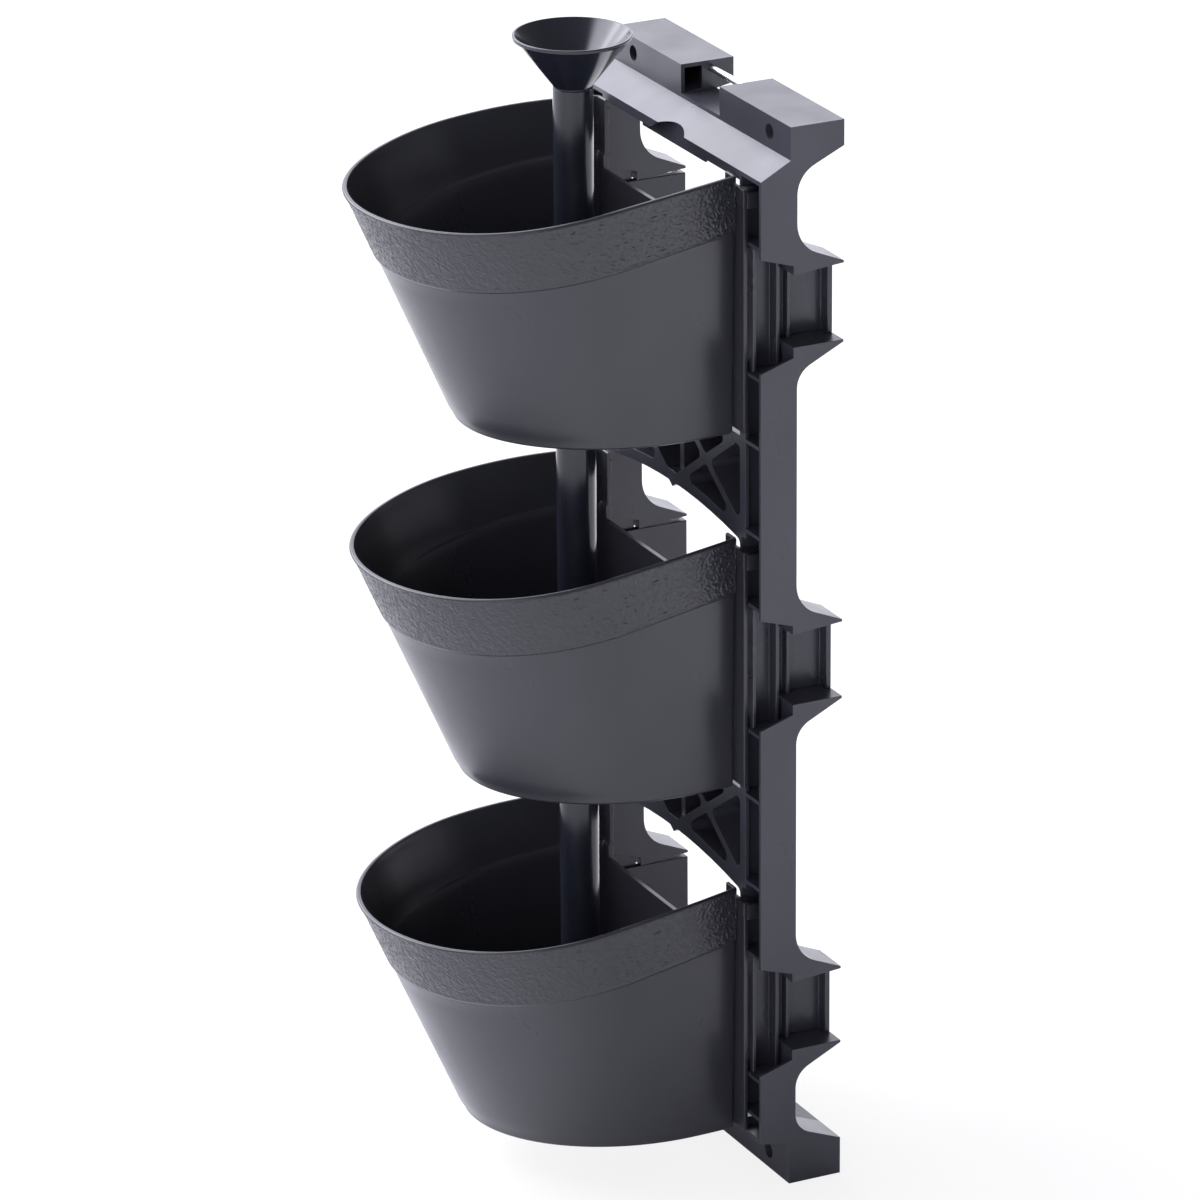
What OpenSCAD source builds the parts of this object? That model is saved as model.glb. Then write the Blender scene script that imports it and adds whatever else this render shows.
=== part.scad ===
// Vertical garden planter: a wall rack of four moulded frames joined by link posts,
// three half-round pots hooked on its rails, and a watering tube in three sections that
// stand in the pots one above the other, with a funnel in the top one. X is to the right, Y is into the wall, Z is up.
// The origin lies on the wall plane, midway between the two top wall screws.

/* [Rack] */
// Overall width of the rack
rack_w = 240; // [220:1:280]
// Depth of the rails from the wall to their front edges
rack_d = 57; // [54:0.5:64]
// Height between one pot and the next
pitch = 234.5; // [228:0.5:260]
// Wall thickness of the rack mouldings
wall_t = 2.5; // [2:0.1:3]
// Width of one rail, seen from the front
rail_w = 28; // [26:0.5:32]
// Depth of the open notches in the back of the rails
notch_d = 32; // [28:0.5:34]
// Depth of the joining zones' outer edge from the wall
edge_d = 34.5; // [34:0.5:36]

/* [Cap] */
// Depth of the cap blocks
cap_d = 36.6; // [34:0.2:40]
// Height of the cap at the wall
cap_back_h = 16.5; // [14:0.5:18]
// Height of the front face of the cap blocks
cap_front_h = 21.1; // [19:0.1:23]
// Drop from the cap top to the corner of the sloping lip
lip_drop = 32; // [30:0.5:34]
// Height of the flange under the lip
flange_h = 6; // [4:0.5:7]
// Width of the arched cut in the lip
lip_arch_w = 60; // [50:1:68]
// Width of the gap between the two cap blocks
gap_w = 52; // [44:1:60]
// Diameter of the hanging rod in the gap
rod_dia = 4.5; // [3.5:0.1:5]
// Distance of the rod's axis from the wall
rod_back = 15; // [12:0.5:18]
// Drop from the cap top to the rod's axis
rod_drop = 5.4; // [5:0.1:7]

/* [Wall screws] */
// Distance between the two screws of a row
screw_span = 184; // [170:1:190]
// Drop from the cap top to the top screws
screw_drop = 10.4; // [9.5:0.1:11]
// Diameter of the screw hole at the wall
screw_dia = 5.5; // [4:0.1:6.5]
// Diameter of the access hole for the screw head
head_dia = 10; // [8:0.2:11]
// Outer diameter of the screw bosses
boss_dia = 13.4; // [13:0.1:14]
// Thickness of the seat under the screw head
seat_t = 4; // [3:0.5:6]

/* [Joining zones] */
// Drop from the cap top to the first fin
first_fin = 91.4; // [88:0.2:95]
// Height between the two fins of a zone
fin_gap = 49.5; // [44:0.5:54]
// Radius of the curve above an upper fin
upper_r = 22; // [18:0.5:24]
// Radius of the curve below a lower fin
lower_r = 16; // [12:0.5:18]
// Length of a link post inside each socket
post_in = 17.5; // [10:0.5:20]
// Clearance of a link post inside its sockets
post_gap = 0.3; // [0.2:0.05:0.5]

/* [Foot] */
// Height of the foot bar's face
foot_h = 27.7; // [24:0.5:30]
// Drop from the foot bar's top to the foot screws
foot_screw_drop = 13; // [11:0.5:15]
// Distance from the last fin down to the foot bar's top
foot_drop = 67.8; // [64:0.5:72]

/* [Rail channel] */
// Width of the flange along the channel's inner edge
flange_in = 7.5; // [5:0.5:9]
// Drop from the rim to the ledge that carries a hook
ledge_drop = 9; // [8.5:0.1:10]
// Height of the ledge
ledge_h = 8; // [6:0.5:9]
// Depth of the ledge
ledge_d = 5.8; // [5:0.1:6.5]

/* [Lattice] */
// Drop from a pot's rim level to the top of the lattice under that pot
lattice_drop = 168; // [160:1:174]
// Height of the lattice at its middle
lattice_h = 60; // [54:1:62]
// Rise of the arched lower chord
arch_rise = 9; // [6:0.5:12]
// Width of the lattice bars
bar_w = 5.5; // [4:0.5:7]
// Radius of the fillets where lattice bars meet
fillet_r = 4; // [2:0.5:6]
// How far the lattice's middle post lies behind the bars' front faces
post_set = 7; // [4:0.5:10]

/* [Pots] */
// Half width of a pot's rim where it is widest
pot_a = 109; // [104:1:113]
// Half width of a pot at the rack
pot_back_a = 93; // [90:0.5:94]
// Length of a pot's side before its round front, at the rim
pot_side = 98; // [90:1:106]
// Depth of the round front at the rim
pot_b = 110; // [100:1:120]
// Half width of a pot's floor where it is widest
base_a = 90; // [84:1:94]
// Length of the side before the round front, at the floor
base_side = 30; // [24:1:40]
// Depth of the round front at the floor
base_b = 111; // [100:1:120]
// Height of a pot at the rack
pot_h = 168; // [160:1:172]
// Drop from the cap top, or from the same level one pitch lower, to the rim at the rack
rim_drop = 34.7; // [33:0.1:36]
// How much lower the rim is at the front
rim_dip = 16; // [10:0.5:22]
// Wall thickness of a pot
pot_t = 2.8; // [2.2:0.1:3.2]
// Height of the rim band at the rack
band_back_h = 36; // [30:1:40]
// Extra height of the band at the front
band_grow = 6; // [0:0.5:10]
// How far the band stands proud of the body
band_out = 1.4; // [0.8:0.1:2]
// Depth of the opening in the pot's back, below the rim
back_cut = 46; // [40:1:52]
// Width of the flange left at each side of that opening
flange_w = 11; // [9:0.5:14]
// Gap between the pots and the rack
pot_gap = 3; // [2.6:0.1:4]

/* [Pot hooks] */
// Thickness of the hook
hook_t = 2.5; // [2:0.1:3]
// Height of the hook's side plate
hook_h = 12.5; // [9:0.5:14]
// Width of the hook
hook_w = 7.5; // [6:0.5:9]
// Clearance between a hook and its ledge
hook_gap = 0.3; // [0.2:0.05:0.4]
// How far a pot is lifted to unhook it
pot_lift = 5; // [4.5:0.1:5.4]

/* [Watering tube] */
// Outer diameter of the tube
tube_dia = 25; // [22:0.5:28]
// Wall thickness of the tube
tube_t = 1.8; // [1.5:0.1:2.2]
// Distance of the tube's axis from the wall
tube_back = 124; // [118:1:130]
// Height of the tube's top above the cap
tube_rise = 5.6; // [3:0.2:10]
// Radial clearance of the tube in the pots' rings
ring_gap = 0.6; // [0.4:0.1:1]
// Height of the ring that holds the tube in a pot
ring_h = 12; // [8:1:16]
// Diameter of the outlet in the floors of the two upper pots
outlet_dia = 16; // [12:0.5:18]
// Diameter of the drip holes
drip_dia = 3; // [2:0.2:4]

/* [Funnel] */
// Diameter of the funnel's mouth
mouth_dia = 74; // [66:1:80]
// Height of the funnel's cone
cone_h = 33.5; // [28:0.5:38]
// Wall thickness of the funnel
funnel_t = 2; // [1.5:0.1:2.4]
// Length of the funnel's spigot
stem_l = 25; // [20:1:35]
// Radial clearance of that spigot in the tube
spigot_gap = 0.1; // [0.05:0.01:0.15]

/* [Hidden] */
$fn = 72;

dark = "#3a3b42";
darker = "#2c2d34";
steel = "#b9bcc2";
half_w = rack_w / 2;
rail_in = half_w - rail_w;
cap_z = screw_drop;
eps = 0.01;
over = 1;

// Joining zones: heights of the upper and lower fins of zone k
function upper_fin(k) = cap_z - first_fin - k * pitch;
function lower_fin(k) = upper_fin(k) - fin_gap;
tip_t = 1.5;
fin_drop = 2.9;
flare_in = 2.9;
flare_out = 9.9;
socket_in = 6.7;
socket_out = 13.9;
foot_top = lower_fin(2) - foot_drop;
foot_bottom = foot_top - foot_h + 3;
foot_front = foot_top + 3;

// Rim heights of the pots and what follows from them
function rim_z(k) = cap_z - rim_drop - k * pitch;
function floor_z(k) = rim_z(k) - pot_h;
function ledge_z(k) = rim_z(k) - ledge_drop;
pot_y = -(rack_d + pot_gap);
hook_plate_t = 2;

// Point where a line from p touches the circle at c; way is 1 or -1
function touch(p, c, r, way) =
    let (d = norm(p - c), a = atan2(p.y - c.y, p.x - c.x), b = acos(r / d))
    c + r * [cos(a + way * b), sin(a + way * b)];

// Side view shapes lie in the YZ plane and are extruded along X
module along_x(x0, w) {
    translate([x0, 0, 0])
        rotate([90, 0, 90])
            linear_extrude(w)
                children();
}

// Front view shapes lie in the XZ plane and are extruded from y_back towards the front
module along_y(y_back, depth) {
    translate([0, y_back, 0])
        rotate([90, 0, 0])
            linear_extrude(depth)
                children();
}

module both_sides() {
    children();
    mirror([1, 0, 0])
        children();
}

// Notch in the back of a rail between two wall contacts, with round inner corners
module back_notch(z_hi, r_hi, run_hi, z_lo, r_lo, run_lo) {
    c_hi = [r_hi - notch_d, z_hi - run_hi];
    c_lo = [r_lo - notch_d, z_lo + run_lo];
    p_hi = [0, z_hi];
    p_lo = [0, z_lo];
    translate(c_hi)
        circle(r = r_hi);
    translate(c_lo)
        circle(r = r_lo);
    polygon([[-notch_d, c_hi.y], [c_hi.x, c_hi.y], [c_lo.x, c_lo.y], [-notch_d, c_lo.y]]);
    polygon([p_hi, touch(p_hi, c_hi, r_hi, 1), c_hi, c_lo, touch(p_lo, c_lo, r_lo, -1), p_lo,
        [over, z_lo], [over, z_hi]]);
}

upper_run = 28;
lower_run = 25.6;
cap_run = 27.5;
cap_r = 20;
foot_run = 22.7;
foot_r = 15;

// Edge of a frame above a joining zone, from the wall to the front
function edge_above(k) = [[0, upper_fin(k)], [-edge_d, upper_fin(k) - fin_drop],
    [-edge_d, upper_fin(k) + flare_in], [-rack_d, upper_fin(k) + flare_out]];
// Edge of a frame below a joining zone, from the front to the wall
function edge_below(k) = [[-rack_d, lower_fin(k) - socket_out], [-edge_d, lower_fin(k) - socket_in],
    [-edge_d, lower_fin(k)], [0, lower_fin(k)]];

module top_side() {
    difference() {
        polygon(concat([[-cap_d, cap_z], [0, cap_z]], edge_above(0),
            [[-rack_d, cap_z - lip_drop], [-cap_d, cap_z - cap_front_h]]));
        back_notch(cap_z - cap_back_h, cap_r, cap_run, upper_fin(0) + tip_t, upper_r, upper_run);
    }
}

module middle_side(k) {
    difference() {
        polygon(concat(edge_below(k - 1), edge_above(k)));
        back_notch(lower_fin(k - 1) - tip_t, lower_r, lower_run,
            upper_fin(k) + tip_t, upper_r, upper_run);
    }
}

module foot_side() {
    difference() {
        polygon(concat(edge_below(2), [[0, foot_bottom], [-cap_d, foot_bottom], [-cap_d, foot_front],
            [-rack_d, foot_front + 4]]));
        back_notch(lower_fin(2) - tip_t, lower_r, lower_run, foot_top, foot_r, foot_run);
    }
}

// Open channel in the front of a rail, between its inner and outer walls
module rail_channel(z_lo, z_hi) {
    translate([rail_in + wall_t, -rack_d - over, z_lo])
        cube([rail_w - 2 * wall_t, rack_d + over - notch_d - wall_t, z_hi - z_lo]);
}

// Flat rib across the channel, top face at z
module channel_rib(z) {
    translate([rail_in + wall_t - eps, -rack_d, z - wall_t])
        cube([rail_w - 2 * wall_t + 2 * eps, rack_d - notch_d - wall_t + eps, wall_t]);
}

// The hook's side plate hangs between the ledge's end and the rail's outer wall
hook_side = rail_in + wall_t + 2;
plate_side = hook_side + hook_w - hook_plate_t;

// Ledge at the front of the channel, which carries a pot's hook
module hook_ledge(k) {
    translate([rail_in + wall_t - eps, -rack_d, ledge_z(k) - ledge_h])
        cube([plate_side - 2 * hook_gap - rail_in - wall_t + eps, ledge_d, ledge_h]);
}

// Flange along the front of the channel's inner wall, open where the hook passes
module channel_flange(k, z_lo, z_hi) {
    hook_lo = ledge_z(k) - ledge_h - wall_t;
    hook_hi = ledge_z(k) + hook_t + pot_lift + wall_t;
    difference() {
        translate([rail_in + wall_t - eps, -rack_d, z_lo])
            cube([flange_in - wall_t + eps, wall_t, z_hi - z_lo]);
        translate([rail_in + wall_t, -rack_d - over, hook_lo])
            cube([flange_in, wall_t + 2 * over, hook_hi - hook_lo]);
    }
}

// Ribs that stop the link posts in their sockets
function stop_above(k) = upper_fin(k) - fin_drop + post_in + wall_t;
function stop_below(k) = lower_fin(k) - post_in;

slope = (lip_drop - cap_front_h) / (rack_d - cap_d);
lip_t = wall_t * sqrt(1 + slope * slope);

// Hollow of a cap block, seen from the side
module block_hollow() {
    polygon([[-cap_d + wall_t, cap_z - wall_t], [-wall_t, cap_z - wall_t],
        [-wall_t, cap_z - cap_back_h + wall_t], [-cap_d + wall_t, cap_z - cap_front_h + wall_t]]);
}

// Section of the cap between the rails: closed box, sloping lip and flange
module cap_section() {
    difference() {
        polygon([[-cap_d, cap_z], [0, cap_z], [0, cap_z - cap_back_h],
            [-cap_d + wall_t, cap_z - cap_front_h - lip_t + slope * wall_t],
            [-rack_d + wall_t, cap_z - lip_drop - lip_t + slope * wall_t],
            [-rack_d + wall_t, cap_z - lip_drop - flange_h], [-rack_d, cap_z - lip_drop - flange_h],
            [-rack_d, cap_z - lip_drop], [-cap_d, cap_z - cap_front_h]]);
        block_hollow();
    }
}

// Boss and stepped hole for one wall screw, at height z in a hollow of depth d
module screw_boss(z, d) {
    translate([screw_span / 2, -d + wall_t / 2, z])
        rotate([-90, 0, 0])
            cylinder(d = boss_dia, h = d - wall_t);
}

module screw_hole(z, d) {
    translate([screw_span / 2, over, z])
        rotate([90, 0, 0])
            cylinder(d = screw_dia, h = d + 2 * over);
    translate([screw_span / 2, -seat_t, z])
        rotate([90, 0, 0])
            cylinder(d = head_dia, h = d - seat_t + over);
}

arch_top = cap_z - lip_drop + 3;
arch_h = flange_h + 3;
arch_r = (lip_arch_w * lip_arch_w / 4 + arch_h * arch_h) / (2 * arch_h);

// Arched cut in the middle of the lip and its flange
module lip_arch() {
    translate([0, -rack_d - over, arch_top - arch_r])
        rotate([-90, 0, 0])
            cylinder(r = arch_r, h = rack_d - cap_d + over, $fn = 180);
}

// Space that the gap between the blocks leaves open
module block_gap() {
    translate([-gap_w / 2, -cap_d - over, cap_z - cap_front_h + wall_t])
        cube([gap_w, cap_d + 2 * over, cap_front_h]);
}

end_wall_d = 22;

module block_end_wall() {
    intersection() {
        translate([gap_w / 2, -end_wall_d, cap_z - cap_front_h])
            cube([wall_t, end_wall_d, cap_front_h]);
        along_x(0, half_w)
            polygon([[-cap_d, cap_z], [0, cap_z], [0, cap_z - cap_back_h],
                [-cap_d, cap_z - cap_front_h]]);
    }
}

module top_frame() {
    color(dark)
        difference() {
            union() {
                both_sides()
                    difference() {
                        along_x(rail_in, rail_w)
                            top_side();
                        along_x(rail_in - over, rail_w + over - wall_t)
                            block_hollow();
                        rail_channel(upper_fin(0) - over, cap_z - lip_drop - lip_t);
                    }
                difference() {
                    along_x(-rail_in - wall_t, 2 * (rail_in + wall_t))
                        cap_section();
                    block_gap();
                    lip_arch();
                }
                both_sides() {
                    block_end_wall();
                    screw_boss(0, cap_d);
                    channel_rib(stop_above(0));
                    channel_flange(0, stop_above(0) - wall_t, cap_z - lip_drop - lip_t + eps);
                    hook_ledge(0);
                }
            }
            both_sides()
                screw_hole(0, cap_d);
            rod_hole();
        }
}

rod_l = gap_w + 2 * (wall_t + 4);
rod_play = 0.1;

// Bore for the rod through the end walls of both blocks
module rod_hole() {
    translate([-gap_w / 2 - wall_t - over, -rod_back, cap_z - rod_drop])
        rotate([0, 90, 0])
            cylinder(d = rod_dia + rod_play, h = gap_w + 2 * (wall_t + over));
}

module hanging_rod() {
    color(steel)
        translate([-rod_l / 2, -rod_back, cap_z - rod_drop])
            rotate([0, 90, 0])
                cylinder(d = rod_dia, h = rod_l);
}

// Straight bar of width w between two points of the front view
module bar(p, q, w) {
    d = q - p;
    translate(p)
        rotate(atan2(d.y, d.x))
            translate([0, -w / 2])
                square([norm(d), w]);
}

// Part of the front view under the lattice's arched lower chord, lowered by drop
module under_arch(z_mid, drop) {
    span = rail_in + wall_t;
    r = (span * span + arch_rise * arch_rise) / (2 * arch_rise);
    translate([0, z_mid - r - drop])
        circle(r = r, $fn = 180);
}

// Front view of the lattice's bars, with the rails' inner walls, before the fillets
module lattice_lines(z_top) {
    z_mid = z_top - lattice_h;
    difference() {
        under_arch(z_mid, -bar_w - 2);
        under_arch(z_mid, 0);
    }
    translate([-rail_in, z_top - bar_w])
        square([2 * rail_in, bar_w]);
    for (side = [-1, 1]) {
        bar([0, z_mid], [side * rail_in, z_top], bar_w);
        bar([0, z_top], [side * rail_in, z_mid], bar_w);
        translate([side * (rail_in + wall_t) - wall_t, z_mid - 2 * arch_rise])
            square([2 * wall_t, lattice_h + 2 * arch_rise]);
    }
}

// Ribbed cross member: back plate, arched chord, crossing braces and a middle post
module lattice(z_top) {
    z_mid = z_top - lattice_h;
    reach = rail_in + eps;
    depth = rack_d - notch_d;
    along_y(-notch_d, wall_t)
        difference() {
            translate([-reach, z_mid - arch_rise])
                square([2 * reach, lattice_h + arch_rise]);
            under_arch(z_mid, 0);
        }
    along_y(-notch_d, depth)
        intersection() {
            offset(r = -fillet_r, $fn = 32)
                offset(delta = fillet_r)
                    lattice_lines(z_top);
            translate([-reach, z_mid - arch_rise - fillet_r])
                square([2 * reach, lattice_h + arch_rise + fillet_r]);
        }
    along_y(-notch_d, depth - post_set)
        translate([-bar_w / 2, z_mid + bar_w / 2])
            square([bar_w, lattice_h - bar_w]);
}

// Frame between joining zones k - 1 and k, with the lattice below pot k - 1
module lattice_frame(k) {
    z_top = rim_z(k - 1) - lattice_drop;
    both_sides() {
        difference() {
            along_x(rail_in, rail_w)
                middle_side(k);
            rail_channel(upper_fin(k) - over, lower_fin(k - 1) + over);
        }
        channel_rib(stop_below(k - 1));
        channel_rib(z_top);
        channel_rib(z_top - lattice_h + wall_t / 2);
        channel_rib(stop_above(k));
        channel_flange(k, stop_above(k) - wall_t, stop_below(k - 1));
        hook_ledge(k);
    }
    lattice(z_top);
}

module upper_frame() {
    color(dark)
        lattice_frame(1);
}

module lower_frame() {
    color(dark)
        lattice_frame(2);
}

screw_low = foot_top - foot_screw_drop;

module foot_frame() {
    color(dark)
        difference() {
            union() {
                both_sides() {
                    difference() {
                        along_x(rail_in, rail_w)
                            foot_side();
                        rail_channel(foot_front + 4 + wall_t, lower_fin(2) + over);
                        foot_hollow();
                    }
                    channel_rib(stop_below(2));
                    channel_rib(window_z + window_h + wall_t);
                    screw_boss(screw_low, cap_d);
                }
                difference() {
                    translate([-rail_in - eps, -cap_d, foot_bottom])
                        cube([2 * (rail_in + eps), cap_d, foot_top - foot_bottom]);
                    foot_hollow();
                }
            }
            both_sides() {
                screw_hole(screw_low, cap_d);
                foot_window();
            }
        }
}

window_z = foot_top + 15;
window_h = 7;
window_d = 9;

// Small window in the inner wall of a foot rail, above the foot bar
module foot_window() {
    translate([rail_in - over, -rack_d + wall_t, window_z])
        cube([wall_t + 2 * over, window_d, window_h]);
}

// Hollow inside the foot bar
module foot_hollow() {
    translate([-half_w + wall_t, -cap_d + wall_t, foot_bottom + wall_t])
        cube([rack_w - 2 * wall_t, cap_d - 2 * wall_t, foot_top - foot_bottom - 2 * wall_t]);
}

// Link post of zone k on the right side: a web with a back plate, ribs and two tenons
module link_post(k) {
    z_hi = upper_fin(k) - fin_drop;
    z_lo = lower_fin(k);
    x_in = rail_in + wall_t + post_gap;
    front = rack_d - 2;
    rib_l = 11;
    translate([rail_in, -front, z_lo])
        cube([wall_t + post_gap + wall_t, front, z_hi - z_lo]);
    translate([rail_in, -wall_t - 1, z_lo])
        cube([wall_t + rib_l, wall_t + 1, z_hi - z_lo]);
    translate([x_in, -notch_d + 2, z_lo])
        cube([rib_l - 3, wall_t, z_hi - z_lo]);
    for (back = [edge_d + 2, front - wall_t])
        translate([x_in, -back - wall_t, z_lo - post_in])
            cube([rib_l, wall_t, z_hi - z_lo + 2 * post_in]);
    translate([x_in, -front, z_lo - post_in])
        cube([wall_t, front - edge_d - 2, z_hi - z_lo + 2 * post_in]);
}

module left_post(k) {
    mirror([1, 0, 0])
        link_post(k);
}

// Plan of a pot, seen from above, from its left back corner round the front to the right one
arc_n = 36;
side_n = 7;

function pot_plan(a, back_a, side, b) = concat(
    [for (i = [0:side_n - 1])
        let (f = 1 - i / side_n)
        [-a + (a - back_a) * f * f, pot_y - side * (1 - f)]],
    [for (i = [0:arc_n])
        let (t = 180 * i / arc_n)
        [-a * cos(t), pot_y - side - b * sin(t)]],
    [for (i = [side_n - 1:-1:0])
        let (f = 1 - i / side_n)
        [a - (a - back_a) * f * f, pot_y - side * (1 - f)]]);

rim_plan = pot_plan(pot_a, pot_back_a, pot_side, pot_b);
base_plan = pot_plan(base_a, min(base_a, pot_back_a) - 1, base_side, base_b);
plan_n = len(rim_plan);

function side_dir(p, i) =
    let (d = p[(i + 1) % plan_n] - p[i])
    d / norm(d);
// Outward offset of point i of plan p by t, with true corners
function pushed(p, i, t) =
    let (d1 = side_dir(p, (i + plan_n - 1) % plan_n), d2 = side_dir(p, i),
        n1 = [d1.y, -d1.x], n2 = [d2.y, -d2.x])
    p[i] + t * (n1 + n2) / (1 + n1 * n2);

reach_rim = pot_side + pot_b;
function far(i) = (pot_y - rim_plan[i].y) / reach_rim;
function dip(d) = (1 - cos(180 * pow(d, 1.2))) / 2;
function rim_h(i) = pot_h - rim_dip * dip(far(i));
function band_h(i) = rim_h(i) - band_back_h - band_grow * far(i);

// Share of an inward offset that moves side point i forwards, so that the points stay in order
function back_share(i) =
    let (from_back = min(i, plan_n - 1 - i))
    from_back == 0 || from_back > side_n ? 0 : 1 - from_back / side_n;

// Point i of a ring: level 0 is the floor, 1 the lower edge of the band and 2 the rim
function pot_point(i, level, out, dz) =
    let (h = level < 1 ? level * band_h(i) : band_h(i) + (level - 1) * (rim_h(i) - band_h(i)),
        f = h / rim_h(i),
        low = pushed(base_plan, i, out), high = pushed(rim_plan, i, out))
    [low.x + (high.x - low.x) * f,
        min(pot_y, low.y + (high.y - low.y) * f + min(out, 0) * back_share(i)), h + dz];

round_r = 2.4;
band_in = band_out - pot_t - 0.4;
// Rings of the shell as level, offset and height, from the floor up outside and down inside
shell = [
    [0, -round_r, 0], [0, -0.3 * round_r, 0.3 * round_r], [0, 0, round_r], [0.5, 0, 0],
    [1, 0, -1.2], [1, band_out, 0.3], [1.5, band_out, 0], [2, band_out, -1.4],
    [2, band_out - 0.5, -0.4], [2, band_out - 1.4, 0], [2, band_in + 1, 0], [2, band_in, -1],
    [1, band_in, 1], [1, -pot_t, -0.8], [0.5, -pot_t, 0],
    [0, -pot_t, pot_t + round_r], [0, -pot_t - round_r, pot_t]];

// Triangles of a floor, in strips from side to side
mid_n = (plan_n - 1) / 2;
floor_strip = concat(
    [for (i = [0:mid_n - 2]) for (half = [0, 1])
        let (j = plan_n - 1 - i)
        half == 0 ? [i, i + 1, j] : [i + 1, j - 1, j]],
    [[mid_n - 1, mid_n, mid_n + 1]]);

module pot_shell() {
    rings = len(shell);
    points = [for (s = shell) for (i = [0:plan_n - 1]) pot_point(i, s[0], s[1], s[2])];
    faces = [for (r = [0:rings - 2]) for (i = [0:plan_n - 1]) for (half = [0, 1])
        let (j = (i + 1) % plan_n, a = r * plan_n, b = a + plan_n)
        half == 0 ? [a + i, b + i, a + j] : [a + j, b + i, b + j]];
    top = (rings - 1) * plan_n;
    floor_out = [for (f = floor_strip) f];
    floor_in = [for (f = floor_strip) [top + f[2], top + f[1], top + f[0]]];
    polyhedron(points, concat(faces, floor_out, floor_in));
}

// The hook reaches down behind the ledge by less than the lift that frees it
hook_reach = pot_lift - 1.5;
hook_play = 2 * hook_gap;

// Hook that reaches through the front of a rail's channel and down behind the ledge
module pot_hook() {
    z = pot_h - ledge_drop + hook_gap;
    x = pot_back_a - flange_w + 2;
    y = -rack_d - hook_play;
    back = -rack_d + ledge_d + hook_play;
    translate([x, pot_y - hook_play, z - ledge_h])
        cube([hook_side + hook_w - x, y - pot_y + hook_play, ledge_h + hook_t]);
    translate([hook_side, y - eps, z])
        cube([hook_w, back + hook_t - y + eps, hook_t]);
    translate([hook_side, back, z - hook_reach])
        cube([hook_w, hook_t, hook_reach + eps]);
    translate([plate_side, y - eps, z + hook_t - hook_h])
        cube([hook_plate_t, back + hook_t - y + eps, hook_h]);
}

ring_r = tube_dia / 2 + ring_gap;
drain_dia = 6;
drain_x = 45;
drain_y = 30;

// One pot with the ring for its tube; where outlet is true, its floor lets water through to the tube below
module pot(k, outlet) {
    color(dark)
        translate([0, 0, floor_z(k)])
            difference() {
                union() {
                    pot_shell();
                    both_sides()
                        pot_hook();
                    translate([0, -tube_back, pot_t - eps])
                        cylinder(r = ring_r + pot_t, h = ring_h);
                }
                translate([0, -tube_back, pot_t])
                    cylinder(r = ring_r, h = ring_h + over);
                if (outlet)
                    translate([0, -tube_back, -over])
                        cylinder(d = outlet_dia, h = pot_t + 2 * over);
                translate([-pot_back_a + flange_w, pot_y - pot_t - over, pot_h - back_cut])
                    cube([2 * (pot_back_a - flange_w), pot_t + 2 * over, back_cut + over]);
                for (x = [-drain_x, drain_x], y = [-drain_y, drain_y])
                    translate([x, -tube_back + y, -over])
                        cylinder(d = drain_dia, h = pot_t + 2 * over, $fn = 24);
            }
}

module pot_top() {
    pot(0, true);
}

module pot_middle() {
    pot(1, true);
}

module pot_bottom() {
    pot(2, false);
}

tube_r = tube_dia / 2;
bore_r = tube_r - tube_t;
drip_rise = 22;
drip_step = 24;
tube_head = cap_z + tube_rise;
// Space above a lower section, so that its pot can be lifted off its hooks
tube_space = pot_lift + 1;

// Section of the tube that stands in the ring of pot k, with its top at z_hi
module tube_section(k, z_hi) {
    z_lo = floor_z(k) + pot_t;
    color(darker)
        translate([0, -tube_back, z_lo])
            difference() {
                cylinder(r = tube_r, h = z_hi - z_lo);
                translate([0, 0, -over])
                    cylinder(r = bore_r, h = z_hi - z_lo + 2 * over);
                for (rise = [drip_rise, drip_rise + drip_step], turn = [0, 90])
                    translate([0, 0, rise])
                        rotate([90, 0, turn])
                            cylinder(d = drip_dia, h = 2 * (tube_r + over), center = true, $fn = 24);
            }
}

module tube_top() {
    tube_section(0, tube_head);
}

module tube_middle() {
    tube_section(1, floor_z(0) - tube_space);
}

module tube_bottom() {
    tube_section(2, floor_z(1) - tube_space);
}

module funnel() {
    z = tube_head;
    stem_r = bore_r - spigot_gap;
    m = mouth_dia / 2;
    lip = 1.2;
    color(darker)
        translate([0, -tube_back, z])
            rotate_extrude()
                polygon([[stem_r - funnel_t, -stem_l], [stem_r, -stem_l], [stem_r, 0], [tube_r, 0],
                    [tube_r, 1.5], [m - lip, cone_h - 2 * lip], [m, cone_h - 2 * lip], [m, cone_h],
                    [m - lip, cone_h], [stem_r - funnel_t, 3]]);
}

top_frame();
upper_frame();
lower_frame();
foot_frame();
color(darker) link_post(0);  // link_post_1_right
color(darker) left_post(0);  // link_post_1_left
color(darker) link_post(1);  // link_post_2_right
color(darker) left_post(1);  // link_post_2_left
color(darker) link_post(2);  // link_post_3_right
color(darker) left_post(2);  // link_post_3_left
hanging_rod();
pot_top();
pot_middle();
pot_bottom();
tube_top();
tube_middle();
tube_bottom();
funnel();
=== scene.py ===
from math import cos, hypot, pi, radians, sin, tan

import bmesh
import bpy
from mathutils import Matrix, Vector, noise


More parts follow.
